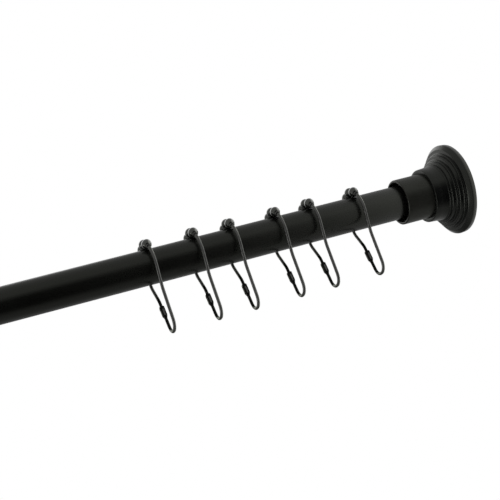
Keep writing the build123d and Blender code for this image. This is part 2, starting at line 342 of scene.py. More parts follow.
class WireTree(GeometryTree):
    """Bends a round wire along a polyline and keeps the places along and around it."""

    def __init__(self) -> None:
        """Builds the tree."""
        super().__init__("bent_wire", {"Wire Radius": 1.15 * MM, "Sides": 20, "Bend Steps": 10})
        route = self.kept(self.corner_curve(self.source.out("Bend Steps")), Measure.ALONG)
        sockets = {"Resolution": self.source.out("Sides"), "Radius": self.source.out("Wire Radius")}
        section = self.node("GeometryNodeCurvePrimitiveCircle", {}, sockets)
        section = self.kept(section, Measure.AROUND)
        sockets = {"Curve": route, "Profile Curve": section, "Fill Caps": True}
        self.end(self.node("GeometryNodeCurveToMesh", {}, sockets))

    def kept(self, curve: Signal, measure: Measure) -> Signal:
        """The curve with a measure of it kept as an attribute for the finish.

        Args:
            curve: The curve.
            measure: The measure, whose name is the attribute's.

        Returns:
            The curve with the attribute.
        """
        value = self.node("GeometryNodeSplineParameter").out(measure.value)
        kind = {"data_type": "FLOAT", "domain": "POINT"}
        sockets = {"Geometry": curve, "Name": measure.name.lower(), "Value": value}
        return self.node("GeometryNodeStoreNamedAttribute", kind, sockets)


class CoilTree(GeometryTree):
    """Winds a section into a coil about the rod's axis, from the origin towards +X."""

    def __init__(self) -> None:
        """Builds the tree."""
        sizes = {"Turns": 7.0, "Coil Radius": 6.4 * MM, "Length": 28 * MM, "Steps": 24}
        super().__init__("wound_coil", sizes)
        radius = self.source.out("Coil Radius")
        sockets = {
            "Resolution": self.source.out("Steps"),
            "Rotations": self.source.out("Turns"),
            "Start Radius": radius,
            "End Radius": radius,
            "Height": self.source.out("Length"),
        }
        coil = self.node("GeometryNodeCurveSpiral", {}, sockets)
        coil = self.node("GeometryNodeSetCurveNormal", {"mode": "Z_UP"}, {"Curve": coil})
        section = self.node("GeometryNodeMeshToCurve", {}, {"Mesh": self.source})
        sockets = {"Curve": coil, "Profile Curve": section, "Fill Caps": True}
        shape = self.node("GeometryNodeCurveToMesh", {}, sockets)
        sockets = {"Geometry": shape, "Rotation": (0, pi / 2, 0)}
        self.end(self.node("GeometryNodeTransform", {}, sockets))


class RingTree(GeometryTree):
    """Sets copies of one mesh evenly about the rod's axis."""

    def __init__(self) -> None:
        """Builds the tree."""
        super().__init__("ring_of_copies", {"Copies": 8})
        copies = self.source.out("Copies")
        points = self.node("GeometryNodeMeshLine", {}, {"Count": copies, "Offset": (0, 0, 0)})
        turn = self.node("GeometryNodeInputIndex") * (2 * pi) / copies
        sockets = {"Axis": (1, 0, 0), "Angle": turn}
        rotation = self.node("FunctionNodeAxisAngleToRotation", {}, sockets)
        sockets = {"Points": points, "Instance": self.source, "Rotation": rotation}
        self.end(self.node("GeometryNodeInstanceOnPoints", {}, sockets))


@dataclass(frozen=True)
class Finish:
    """What every finish has: its slot, colour and usual roughness."""

    slot: Slot
    colour: Colour
    roughness: float
    specular: float = 0.5
    metallic: float = 0.0
    coat: float = 0.0
    tint: Colour = (0.96, 1.0, 0.88)

    def material(self) -> bpy.types.Material:
        """Makes the material, or finds it where it was made before.

        Returns:
            The material.
        """
        name = self.slot.value
        if name in bpy.data.materials and bpy.data.materials[name].get("dressed"):
            return bpy.data.materials[name]
        made = bpy.data.materials.new(name)
        made.name = name
        made["dressed"] = True
        made.use_nodes = True
        graph = Graph(made.node_tree)
        shader = made.node_tree.nodes["Principled BSDF"]
        shader.inputs["Specular IOR Level"].default_value = self.specular
        shader.inputs["Specular Tint"].default_value = (*self.tint, 1.0)
        shader.inputs["Metallic"].default_value = self.metallic
        shader.inputs["Coat Weight"].default_value = self.coat
        self.shade(graph, shader)
        return made

    def shade(self, graph: Graph, shader: bpy.types.Node) -> None:
        """Feeds the shader; each kind of finish has its own way."""
        raise NotImplementedError

    @staticmethod
    def feed(graph: Graph, shader: bpy.types.Node, **sockets: Signal) -> None:
        """Links signals to the shader's inputs, with _ for a space."""
        for name, signal in sockets.items():
            graph.tree.links.new(signal.socket, shader.inputs[name.replace("_", " ")])


@dataclass(frozen=True)
class CoatedFinish(Finish):
    """Baked powder coat: faint orange peel, and cloudy changes of gloss."""

    peel: float = 0.8 * MM
    peel_depth: float = 0.012 * MM
    cloud: float = 24 * MM
    gloss_change: float = 0.08
    pale: Colour = (0.005, 0.005, 0.0045)
    peel_strength: float = 0.4

    def shade(self, graph: Graph, shader: bpy.types.Node) -> None:
        """Feeds the colour, the gloss and the peel.

        Args:
            graph: The material's graph.
            shader: Its Principled BSDF.
        """
        place = graph.object_place()
        cloud = graph.noise(place, self.cloud, Detail.CLOUDY)
        peel = graph.noise(place, self.peel, Detail.SMOOTH)
        colour = graph.mix_colour(cloud * peel, self.colour, self.pale)
        gloss = self.roughness + (cloud - MIDDLE) * self.gloss_change
        normal = graph.bump(peel, self.peel_depth, self.peel_strength)
        self.feed(graph, shader, Base_Color=colour, Roughness=gloss, Normal=normal)


@dataclass(frozen=True)
class MouldedFinish(Finish):
    """Moulded plastic: a fine eroded grain, with a low sheen that changes a little."""

    grain: float = 0.35 * MM
    grain_depth: float = 0.008 * MM
    cloud: float = 11 * MM
    gloss_change: float = 0.1
    pale: Colour = (0.007, 0.0073, 0.0072)
    grain_strength: float = 0.5

    def shade(self, graph: Graph, shader: bpy.types.Node) -> None:
        """Feeds the colour, the gloss and the grain.

        Args:
            graph: The material's graph.
            shader: Its Principled BSDF.
        """
        place = graph.object_place()
        cloud = graph.noise(place, self.cloud, Detail.BROKEN)
        grain = graph.noise(place, self.grain)
        colour = graph.mix_colour(cloud, self.colour, self.pale)
        gloss = self.roughness + (cloud + grain - 2 * MIDDLE) * self.gloss_change
        normal = graph.bump(grain, self.grain_depth, self.grain_strength)
        self.feed(graph, shader, Base_Color=colour, Roughness=gloss, Normal=normal)


@dataclass(frozen=True)
class RubberFinish(Finish):
    """Soft rubber with a dusty bloom on a pitted skin."""

    pit: float = 0.6 * MM
    pit_depth: float = 0.05 * MM
    bloom: Colour = (0.06, 0.06, 0.058)
    pit_strength: float = 0.4
    bloom_size: float = 9 * MM
    bloom_share: float = 0.6
    bloom_dull: float = 0.15

    def shade(self, graph: Graph, shader: bpy.types.Node) -> None:
        """Feeds the bloom and the pits.

        Args:
            graph: The material's graph.
            shader: Its Principled BSDF.
        """
        place = graph.object_place()
        sockets = {"Vector": place, "Scale": 1 / self.pit}
        pits = graph.node("ShaderNodeTexVoronoi", {"feature": "SMOOTH_F1"}, sockets)
        bloom = graph.noise(place, self.bloom_size, Detail.CLOUDY)
        colour = graph.mix_colour(bloom * self.bloom_share, self.colour, self.bloom)
        gloss = self.roughness + bloom * self.bloom_dull
        normal = graph.bump(pits, self.pit_depth, self.pit_strength)
        self.feed(graph, shader, Base_Color=colour, Roughness=gloss, Normal=normal)


@dataclass(frozen=True)
class DrawnFinish(Finish):
    """Drawn wire under dark plating: fine lines run along it, and its ends get painted shade."""

    line: float = 0.05
    length: float = 6 * MM
    line_depth: float = 0.01 * MM
    worn: Colour = (0.16, 0.16, 0.155)
    # painted shade near the wire's ends: where it fades in along the wire, and its colour
    painted_shade_reach: tuple[float, float] = (13 * MM, 12.5 * MM)
    painted_shade_colour: Colour = (0.006, 0.006, 0.006)
    spot: float = 1.7 * MM
    gloss_change: float = 0.18
    line_strength: float = 0.35

    def shade(self, graph: Graph, shader: bpy.types.Node) -> None:
        """Feeds the lines, from the places along and around the wire that the mesh keeps.

        Args:
            graph: The material's graph.
            shader: Its Principled BSDF.
        """
        along = graph.node("ShaderNodeAttribute", {"attribute_name": "along"}).out("Fac")
        around = graph.node("ShaderNodeAttribute", {"attribute_name": "around"}).out("Fac")
        sockets = {"X": along * (1 / self.length), "Y": around * (1 / self.line), "Z": 0.0}
        strip = graph.node("ShaderNodeCombineXYZ", {}, sockets)
        lines = graph.noise(strip, 1.0, Detail.BROKEN)
        spots = graph.noise(graph.object_place(), self.spot, Detail.BROKEN)
        unshaded = graph.mix_colour(lines * spots, self.colour, self.worn)
        # painted shade: darkens the wire near its ends and over the catch
        colour = graph.mix_colour(along.share(self.painted_shade_reach), unshaded, self.painted_shade_colour)
        gloss = self.roughness + (lines - MIDDLE) * self.gloss_change
        normal = graph.bump(lines, self.line_depth, self.line_strength)
        self.feed(graph, shader, Base_Color=colour, Roughness=gloss, Normal=normal)


@dataclass(frozen=True)
class PolishedFinish(Finish):
    """Tumbled plastic: a deep gloss with a few dull scuffs."""

    scuff: float = 1.3 * MM
    scuffed: float = 0.16
    scuff_reach: tuple[float, float] = (0.5, 0.72)
    cloud: float = 4 * MM
    pale_times: float = 2.0

    def shade(self, graph: Graph, shader: bpy.types.Node) -> None:
        """Feeds the scuffs and a faint cloud in the colour.

        Args:
            graph: The material's graph.
            shader: Its Principled BSDF.
        """
        place = graph.object_place()
        start, end = self.scuff_reach
        marks = graph.noise(place, self.scuff, Detail.CLOUDY)
        stops = {"stops": [(start, 0.0), (end, 1.0)]}
        scuffs = graph.node("ShaderNodeValToRGB", stops, {"Fac": marks})
        pale = tuple(self.pale_times * level for level in self.colour)
        colour = graph.mix_colour(graph.noise(place, self.cloud), self.colour, pale)
        gloss = self.roughness + scuffs * self.scuffed
        self.feed(graph, shader, Base_Color=colour, Roughness=gloss)


@dataclass(frozen=True)
class MilledFinish(Finish):
    """Bare or plated steel, and nylon: tool lines round the axis under a thin cloud of tarnish."""

    line: float = 0.25 * MM
    line_depth: float = 0.01 * MM
    tarnish: Colour = (0.3, 0.29, 0.27)
    tarnish_share: float = 0.6
    cloud: float = 6 * MM
    across_scale: float = 40.0
    line_gloss: float = 0.15
    cloud_gloss: float = 0.1
    line_strength: float = 0.3

    def shade(self, graph: Graph, shader: bpy.types.Node) -> None:
        """Feeds the tool lines and the tarnish.

        Args:
            graph: The material's graph.
            shader: Its Principled BSDF.
        """
        place = graph.object_place()
        scales = (1 / self.line, self.across_scale, self.across_scale)
        lines = graph.noise(graph.vector("MULTIPLY", place, scales), 1.0)
        cloud = graph.noise(place, self.cloud, Detail.CLOUDY)
        colour = graph.mix_colour(cloud * self.tarnish_share, self.colour, self.tarnish)
        gloss = self.roughness + (lines - MIDDLE) * self.line_gloss
        gloss = gloss + (cloud - MIDDLE) * self.cloud_gloss
        normal = graph.bump(lines, self.line_depth, self.line_strength)
        self.feed(graph, shader, Base_Color=colour, Roughness=gloss, Normal=normal)


FINISHES: dict[Slot, Finish] = {
    finish.slot: finish
    for finish in (
        CoatedFinish(Slot.POWDER_COAT, (0.0025, 0.0025, 0.0022), 0.26),
        MouldedFinish(
            Slot.SOCKET_PLASTIC, (0.009, 0.009, 0.0075), 0.3, pale=(0.013, 0.013, 0.0115)
        ),
        MouldedFinish(
            Slot.COVER_PLASTIC,
            (0.002, 0.0022, 0.0022),
            0.2,
            grain=1.1 * MM,
            grain_depth=0.001 * MM,
        ),
        MouldedFinish(Slot.BUSH_PLASTIC, (0.012, 0.012, 0.0125), 0.5, grain_depth=0.012 * MM),
        RubberFinish(Slot.PAD_RUBBER, (0.02, 0.02, 0.02), 0.75),
        DrawnFinish(Slot.HOOK_WIRE, (0.09, 0.09, 0.087), 0.3, 0.5, 0.8),
        PolishedFinish(Slot.ROLLER_BALL, (0.004, 0.004, 0.004), 0.1, 1.0, coat=1.0),
        MilledFinish(Slot.NYLON, (0.72, 0.71, 0.66), 0.5, 0.4, tarnish=(0.6, 0.57, 0.5)),
        MilledFinish(Slot.ZINC_STEEL, (0.6, 0.6, 0.58), 0.32, 0.5, 1.0, tarnish=(0.42, 0.4, 0.36)),
        MilledFinish(
            Slot.SPRING_STEEL, (0.42, 0.42, 0.43), 0.36, 0.5, 1.0, tarnish=(0.22, 0.21, 0.2)
        ),
    )
}


def outward(mesh: bpy.types.Mesh) -> bpy.types.Mesh:
    """Turns a closed mesh's faces outwards.

    Args:
        mesh: The mesh.

    Returns:
        The same mesh.
    """
    shape = bmesh.new()
    shape.from_mesh(mesh)
    bmesh.ops.recalc_face_normals(shape, faces=shape.faces)
    shape.to_mesh(mesh)
    shape.free()
    return mesh


def polyline(
    points: Iterable[Sequence[float]], rounds: Sequence[float], closed: bool
) -> bpy.types.Mesh:
    """A mesh of edges alone, for a tree to start from.

    Args:
        points: The corners in order.
        rounds: The radius that each corner is rounded by.
        closed: Whether the last corner joins the first.

    Returns:
        The mesh, with the radii as its "round" attribute.
    """
    places = [tuple(point) for point in points]
    count = len(places)
    edges = [(k, (k + 1) % count) for k in range(count if closed else count - 1)]
    mesh = bpy.data.meshes.new("outline")
    mesh.from_pydata(places, edges, [])
    mesh.attributes.new("round", "FLOAT", "POINT").data.foreach_set("value", list(rounds))
    return mesh


def joined(meshes: Sequence[bpy.types.Mesh]) -> bpy.types.Mesh:
    """Joins meshes of one finish into the first of them.

    Args:
        meshes: The meshes; all but the first are used up.

    Returns:
        The first mesh.
    """
    shape = bmesh.new()
    for mesh in meshes:
        shape.from_mesh(mesh)
    shape.to_mesh(meshes[0])
    shape.free()
    for mesh in meshes[1:]:
        bpy.data.meshes.remove(mesh)
    return meshes[0]


def moved_copy(mesh: bpy.types.Mesh, placing: Matrix) -> bpy.types.Mesh:
    """A copy of a mesh that is carried to another place.

    Args:
        mesh: The mesh to copy.
        placing: Where the copy goes.

    Returns:
        The copy.
    """
    copy = mesh.copy()
    copy.transform(placing)
    return copy


def place_piece(
    name: str, mesh: bpy.types.Mesh, node: str, replaces: bool = True
) -> None:
    """Puts a finished mesh into the scene.

    Args:
        name: The piece's name.
        mesh: Its mesh, already in place and dressed.
        node: The solid that it belongs to; the piece rides on that solid's body.
        replaces: Whether it stands for that solid.
    """
    mesh.name = name
    piece = bpy.data.objects.new(name, mesh)
    bpy.context.scene.collection.objects.link(piece)
    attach(piece, BODY_OF[node])
    if replaces:
        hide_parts(node)
    LOG.info("%s: %d faces on %s", name, len(mesh.polygons), BODY_OF[node])


def dress_solid(node: str, slot: Slot) -> None:
    """Gives a solid that stays its finish.

    Args:
        node: The solid.
        slot: The record's slot of its finish.
    """
    solid = frame["nodes"][node]
    solid.data.materials.clear()
    solid.data.materials.append(FINISHES[slot].material())
    LOG.info("%s: solid in %s", node, slot.value)


@dataclass(frozen=True)
class Span:
    """Where a solid lies along the rod, and how far it reaches from the axis."""

    start: float
    end: float
    radius: float

    @classmethod
    def of(cls, node: str) -> "Span":
        """The span of a solid."""
        low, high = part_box(node)
        return cls(low.x, high.x, max(-low.y, high.z))


@dataclass
class Outline:
    """The outline of a turned piece, corner by corner.

    A corner has a depth, counted from the zero along the rod, and a radius from the rod's axis.
    """

    zero: float = 0.0
    way: int = 1
    closed: bool = True
    corners: list[tuple[float, float, float]] = field(default_factory=list)

    def to(self, depth: float, radius: float, rounded: float = 0.0) -> "Outline":
        """Runs straight to a corner.

        Args:
            depth: The corner's place along the rod.
            radius: Its distance from the axis.
            rounded: The radius that the corner is rounded by.

        Returns:
            This outline.
        """
        self.corners.append((depth, radius, rounded))
        return self

    def bow(self, depth: float, radius: float, height: float, steps: int = 8) -> "Outline":
        """Runs to a corner in an arc.

        Args:
            depth: The corner's place along the rod.
            radius: Its distance from the axis.
            height: How far the arc's middle stands away from the straight run, out from the axis.
            steps: The number of straight runs that make the arc.

        Returns:
            This outline.
        """
        start = Vector(self.corners[-1][:2])
        chord = Vector((depth, radius)) - start
        normal = Vector((-chord.y, chord.x)).normalized()
        half = 2 * atan(2 * height / chord.length)
        bend_r = chord.length / (2 * sin(half))
        for k in range(1, steps + 1):
            angle = half * (2 * k / steps - 1)
            along = start + chord * (0.5 + bend_r * sin(angle) / chord.length)
            point = along + normal * bend_r * (cos(angle) - cos(half))
            self.corners.append((point.x, point.y, 0.0))
        return self

    def turned(self, slot: Slot, **sizes: int) -> bpy.types.Mesh:
        """The piece, turned about the rod's axis.

        Args:
            slot: The record's slot of its finish.
            sizes: Inputs of the tree that differ from the usual ones.

        Returns:
            The finished mesh.
        """
        points = [
            (radius - PATH_RADIUS, self.zero + self.way * depth, 0.0)
            for depth, radius, _ in self.corners
        ]
        base = polyline(points, [rounded for _, _, rounded in self.corners], self.closed)
        return TREES.turned.make(base, FINISHES[slot].material(), **sizes)


@dataclass(frozen=True)
class Trees:
    """The geometry node trees, each built once."""

    turned: TurnedTree
    wire: WireTree
    coil: CoilTree
    ring: RingTree


TREES = Trees(TurnedTree(), WireTree(), CoilTree(), RingTree())


@dataclass
class Tubes:
    """The two telescoping tubes and the bush between them."""

    outer_wall: float = 0.9 * MM
    inner_wall: float = 0.8 * MM
    edge_round: float = 0.25 * MM
    bush_lip: float = 6.0 * MM
    bush_lip_round: float = 0.8 * MM
    bush_bore_gap: float = 0.1 * MM
    bush_push_gap: float = 0.05 * MM
    bush_groove_depth: float = 0.35 * MM
    bush_groove: tuple[float, float] = (1 / 3, 1 / 2)  # its place, as shares of the lip
    segments: int = 72

    def tube(self, node: str, wall: float) -> None:
        """Makes one tube with broken edges.

        Args:
            node: The tube's solid.
            wall: How thick its wall is.
        """
        span = Span.of(node)
        bore = span.radius - wall
        outline = Outline().to(span.start, bore, self.edge_round)
        outline.to(span.start, span.radius, self.edge_round)
        outline.to(span.end, span.radius, self.edge_round).to(span.end, bore, self.edge_round)
        mesh = outline.turned(Slot.POWDER_COAT, Segments=self.segments)
        place_piece(f"{node}_coated", mesh, node)

    def bush(self) -> None:
        """Makes the bush, with a groove round its lip."""
        span = Span.of("guide_bush")
        outer_r = Span.of("outer_tube").radius - self.outer_wall - self.bush_push_gap
        bore = Span.of("inner_tube").radius + self.bush_bore_gap
        lip_end = span.start + self.bush_lip
        low_r = span.radius - self.bush_groove_depth
        near, far = (lip_end - self.bush_lip * share for share in self.bush_groove)
        outline = Outline().to(span.end, bore, self.edge_round)
        outline.to(span.end, outer_r, self.edge_round).to(lip_end, outer_r)
        outline.to(lip_end, span.radius, self.edge_round).to(near, span.radius, self.edge_round)
        outline.to(near, low_r).to(far, low_r).to(far, span.radius, self.edge_round)
        outline.to(span.start, span.radius, self.bush_lip_round)
        outline.to(span.start, bore, self.edge_round)
        mesh = outline.turned(Slot.BUSH_PLASTIC, Segments=self.segments)
        place_piece("guide_bush_moulded", mesh, "guide_bush")

    def build(self) -> None:
        """Makes the tubes and the bush."""
        self.tube("outer_tube", self.outer_wall)
        self.tube("inner_tube", self.inner_wall)
        self.bush()


@dataclass
class WallEnd:
    """One end of the rod: the socket that holds the tube, its rubber pad, and the stepped cover."""

    end: End
    push_gap: float = 0.05 * MM
    slide_gap: float = 0.15 * MM
    pad_thick: float = 3.0 * MM
    pad_proud: float = 1.0 * MM
    pad_grooves: int = 3
    pad_groove_width: float = 2.4 * MM
    pad_groove_depth: float = 0.8 * MM
    pad_centre_r: float = 8.0 * MM
    cup_wall: float = 1.9 * MM
    socket_floor: float = 2.5 * MM
    collar_wall: float = 4.5 * MM
    collar_lip_round: float = 0.8 * MM
    mouth_step: float = 2.65 * MM
    mouth_depth: float = 8.0 * MM
    ribs: int = 8
    rib_thick: float = 1.8 * MM
    rib_reach: float = 6.0 * MM
    rib_height: float = 5.0 * MM
    rib_root: float = 0.5 * MM
    rib_edge_steps: int = 2
    cover_back: float = 0.5 * MM
    cover_wall: float = 1.9 * MM
    rim_land: float = 3.5 * MM
    rim_round: float = 0.5 * MM
    rim_taper: float = 0.3 * MM
    rim_length: float = 2.7 * MM
    rim_fall: float = 2.9 * MM
    face_steps: int = 4
    step_length: float = 2.0 * MM
    step_fall: float = 2.0 * MM
    step_swing: float = 0.33  # how much shorter the first step of each pair is, as a share
    fall_swing: float = 0.32  # and how much deeper
    step_nose_round: float = 0.6 * MM
    step_root_round: float = 0.15 * MM
    cove_step_length: float = 1.5 * MM
    cove_step_fall: float = 1.7 * MM
    cove_lip: float = 0.6 * MM
    cove_nose_round: float = 0.3 * MM
    cove_length: float = 5.8 * MM
    cove_hollow: float = 0.15 * MM
    neck_wall: float = 3.0 * MM
    neck_taper: float = 0.35 * MM
    neck_lip_round: float = 0.4 * MM
    bore_length: float = 8.2 * MM
    cover_segments: int = 128
    edge_round: float = 0.3 * MM

    def __post_init__(self) -> None:
        """Works out the collar's radius, which the cover's neck slides on."""
        self.collar_r = Span.of("outer_tube").radius + self.push_gap + self.collar_wall

    def outline(self) -> Outline:
        """An empty outline whose depths run from this end's wall face along the rod."""
        pad = Span.of(self.node("wall_pad"))
        return Outline(pad.end, -1) if self.end is End.FIXED else Outline(pad.start, 1)

    def node(self, piece: str) -> str:
        """The name of this end's solid for a piece."""
        return f"{self.end.value}_{piece}"

    def tube_r(self) -> float:
        """The radius of the tube in this end's socket."""
        return Span.of("outer_tube" if self.end is End.FIXED else "inner_tube").radius

    def depth_of(self, piece: str) -> float:
        """How far a piece reaches from the wall face.

        Args:
            piece: The piece, by its name without the end.

        Returns:
            The depth along the rod.
        """
        span = Span.of(self.node(piece))
        zero = self.outline().zero
        return zero - span.start if self.end is End.FIXED else span.end - zero

    def pad(self) -> None:
        """Makes the rubber pad with its round grooves."""
        radius = Span.of(self.node("wall_pad")).radius
        pitch = (radius - self.pad_centre_r) / self.pad_grooves
        outline = self.outline()
        outline.closed = False
        outline.to(0, 0)
        for ring in range(self.pad_grooves):
            inner = self.pad_centre_r + ring * pitch
            outer = inner + self.pad_groove_width
            outline.to(0, inner, self.edge_round).to(self.pad_groove_depth, inner, self.edge_round)
            outline.to(self.pad_groove_depth, outer, self.edge_round).to(0, outer, self.edge_round)
        outline.to(0, radius, self.edge_round).to(self.pad_thick, radius).to(self.pad_thick, 0)
        mesh = outline.turned(Slot.PAD_RUBBER)
        place_piece(self.node("wall_pad_ringed"), mesh, self.node("wall_pad"))

    def socket(self) -> None:
        """Makes the socket: a cup for the pad, a floor, and a collar with a recess at its mouth."""
        cup_r = Span.of(self.node("wall_pad")).radius + self.push_gap
        rim_r = cup_r + self.cup_wall
        bore_r = self.tube_r() + self.push_gap
        mouth_r = Span.of("outer_tube").radius + self.push_gap + self.mouth_step
        floor = self.pad_thick + self.socket_floor
        mouth = self.depth_of("end_socket")
        outline = self.outline()
        outline.closed = False
        outline.to(self.pad_thick, 0).to(self.pad_thick, cup_r)
        outline.to(self.pad_proud, cup_r, self.edge_round)
        outline.to(self.pad_proud, rim_r, self.edge_round)
        outline.to(floor, rim_r, self.edge_round).to(floor, self.collar_r, self.edge_round)
        outline.to(mouth, self.collar_r, self.collar_lip_round).to(mouth, mouth_r, self.edge_round)
        outline.to(mouth - self.mouth_depth, mouth_r, self.edge_round)
        outline.to(mouth - self.mouth_depth, bore_r, self.edge_round).to(floor, bore_r).to(floor, 0)
        mesh = outline.turned(Slot.SOCKET_PLASTIC)
        piece, node = self.node("end_socket_moulded"), self.node("end_socket")
        place_piece(piece, mesh, node)

    def rib_ring(self) -> None:
        """Makes the ribs that stay the collar on the cup, as one ring."""
        floor = self.pad_thick + self.socket_floor
        outline = self.outline()
        root = self.collar_r - self.rib_root
        side = [
            (floor - self.rib_root, root),
            (floor - self.rib_root, self.collar_r + self.rib_reach),
            (floor, self.collar_r + self.rib_reach),
            (floor + self.rib_height, self.collar_r),
            (floor + self.rib_height, root),
        ]
        shape = bmesh.new()
        corners = [
            shape.verts.new((outline.zero + outline.way * depth, -self.rib_thick / 2, radius))
            for depth, radius in side
        ]
        face = shape.faces.new(corners)
        swept = bmesh.ops.extrude_face_region(shape, geom=[face])["geom"]
        far = [vert for vert in swept if isinstance(vert, bmesh.types.BMVert)]
        bmesh.ops.translate(shape, verts=far, vec=(0, self.rib_thick, 0))
        bmesh.ops.bevel(
            shape,
            geom=list(shape.edges),
            offset=self.edge_round,
            segments=self.rib_edge_steps,
            affect="EDGES",
            profile=0.5,
        )
        bmesh.ops.recalc_face_normals(shape, faces=shape.faces)
        rib = bpy.data.meshes.new("rib")
        shape.to_mesh(rib)
        shape.free()
        ring = TREES.ring.make(rib, FINISHES[Slot.SOCKET_PLASTIC].material(), Copies=self.ribs)
        piece, node = self.node("end_socket_ribs"), self.node("end_socket")
        place_piece(piece, ring, node, replaces=False)

    def cover(self) -> None:
        """Makes the thin cover: a chamfered rim, paired steps, a cove and a neck on the collar."""
        rim_r = Span.of(self.node("flange_cover")).radius
        mouth = self.depth_of("flange_cover")
        neck_bore_r = self.collar_r + self.slide_gap
        neck_r = neck_bore_r + self.neck_wall
        rim_edge = self.cover_back + self.rim_land
        face = rim_edge + self.rim_length
        face_r = rim_r - self.rim_fall
        cove_step = face + self.face_steps * self.step_length
        cove_r = face_r - self.face_steps * self.step_fall - self.cove_step_fall
        cove = cove_step + self.cove_step_length
        inward = Vector((-self.step_fall, -self.step_length)).normalized() * self.cover_wall
        outline = self.outline()
        outline.to(self.cover_back, rim_r - self.rim_taper, self.edge_round)
        outline.to(rim_edge, rim_r, self.rim_round).to(face, face_r, self.step_nose_round)
        for step in range(1, self.face_steps + 1):
            first = step % 2
            nose = face + (step - self.step_swing * first) * self.step_length
            nose_r = face_r - (step + self.fall_swing * first) * self.step_fall
            root, _, _ = outline.corners[-1]
            outline.to(root, nose_r, self.step_root_round).to(nose, nose_r, self.step_nose_round)
        outline.to(cove_step, cove_r, self.step_root_round).to(cove, cove_r, self.cove_nose_round)
        outline.to(cove, cove_r - self.cove_lip, self.step_root_round)
        outline.bow(cove + self.cove_length, neck_r + self.neck_taper, -self.cove_hollow)
        outline.to(mouth, neck_r, self.neck_lip_round).to(mouth, neck_bore_r, self.edge_round)
        outline.to(mouth - self.bore_length, neck_bore_r)
        outline.to(cove_step + inward.x, cove_r + inward.y)
        outline.to(face + inward.x, face_r - self.step_fall + inward.y)
        outline.to(rim_edge - self.cover_wall / 2, rim_r - self.cover_wall)
        outline.to(self.cover_back, rim_r - self.cover_wall, self.edge_round)
        mesh = outline.turned(Slot.COVER_PLASTIC, Segments=self.cover_segments)
        piece, node = self.node("flange_cover_moulded"), self.node("flange_cover")
        place_piece(piece, mesh, node)

    def build(self) -> None:
        """Makes the pieces of this end."""
        self.pad()
        self.socket()
        self.rib_ring()
        self.cover()


@dataclass
class TwistLock:
    """The lock inside the tubes: a sprung screw that draws a cone into a slotted sleeve."""

    thread_pitch: float = 1.25 * MM
    thread_depth: float = 0.55 * MM
    thread_half: float = 0.46  # the ridge's half width, as a share of the pitch
    thread_sink: float = 0.02  # how far its foot is in the core, as a share of the core's radius
    thread_steps: int = 20
    core_segments: int = 32
    head_sides: int = 6
    shank_r: float = 4.0 * MM
    head_thick: float = 5.0 * MM
    head_flats: float = 13.0 * MM
    head_round: float = 0.5 * MM
    spring_wire: float = 1.6 * MM
    spring_turns: float = 7.0
    spring_sides: int = 10
    spring_steps: int = 36
    solids: tuple[tuple[str, Slot], ...] = (
        ("nut_plug", Slot.NYLON),
        ("expander_sleeve", Slot.NYLON),
        ("expander_cone", Slot.NYLON),
        ("thrust_washer", Slot.ZINC_STEEL),
        ("screw_stop_nut", Slot.ZINC_STEEL),
    )

    def screw(self) -> None:
        """Makes the screw: a hexagonal head, and a core with its thread wound on it."""
        span = Span.of("tension_screw")
        head = span.end - self.head_thick
        core_r = self.shank_r - self.thread_depth
        finish = FINISHES[Slot.ZINC_STEEL].material()
        core = Outline(closed=False).to(span.start, 0).to(span.start, core_r, self.head_round)
        core.to(head, core_r).to(head, 0)
        corner_r = self.head_flats / sqrt(3)
        hexagon = Outline(closed=False).to(head, 0).to(head, corner_r, self.head_round)
        hexagon.to(span.end, corner_r, self.head_round).to(span.end, 0)
        head_mesh = hexagon.turned(Slot.ZINC_STEEL, Segments=self.head_sides)
        head_mesh.transform(Matrix.Rotation(pi / 2, 4, "X"))
        half, foot = self.thread_pitch * self.thread_half, -core_r * self.thread_sink
        ridge = [(foot, -half, 0), (self.thread_depth, 0, 0), (foot, half, 0)]
        length = head - span.start - 2 * self.thread_pitch
        thread = TREES.coil.make(
            polyline(ridge, [0.0] * len(ridge), True),
            finish,
            Turns=length / self.thread_pitch,
            Coil_Radius=core_r,
            Length=length,
            Steps=self.thread_steps,
        )
        thread.transform(Matrix.Translation((span.start + self.thread_pitch, 0, 0)))
        core_mesh = core.turned(Slot.ZINC_STEEL, Segments=self.core_segments)
        mesh = joined([core_mesh, head_mesh, thread])
        place_piece("tension_screw_threaded", mesh, "tension_screw")

    def spring(self) -> None:
        """Makes the spring of round wire."""
        span = Span.of("tension_spring")
        wire_r = self.spring_wire / 2
        turns = [2 * pi * k / self.spring_sides for k in range(self.spring_sides)]
        section = [(wire_r * cos(turn), wire_r * sin(turn), 0.0) for turn in turns]
        mesh = TREES.coil.make(
            polyline(section, [0.0] * len(section), True),
            FINISHES[Slot.SPRING_STEEL].material(),
            Turns=self.spring_turns,
            Coil_Radius=span.radius - wire_r,
            Length=span.end - span.start - self.spring_wire,
            Steps=self.spring_steps,
        )
        mesh.transform(Matrix.Translation((span.start + wire_r, 0, 0)))
        place_piece("tension_spring_wound", mesh, "tension_spring")

    def build(self) -> None:
        """Makes the screw and the spring, and dresses the other solids."""
        self.screw()
        self.spring()
        for node, slot in self.solids:
            dress_solid(node, slot)


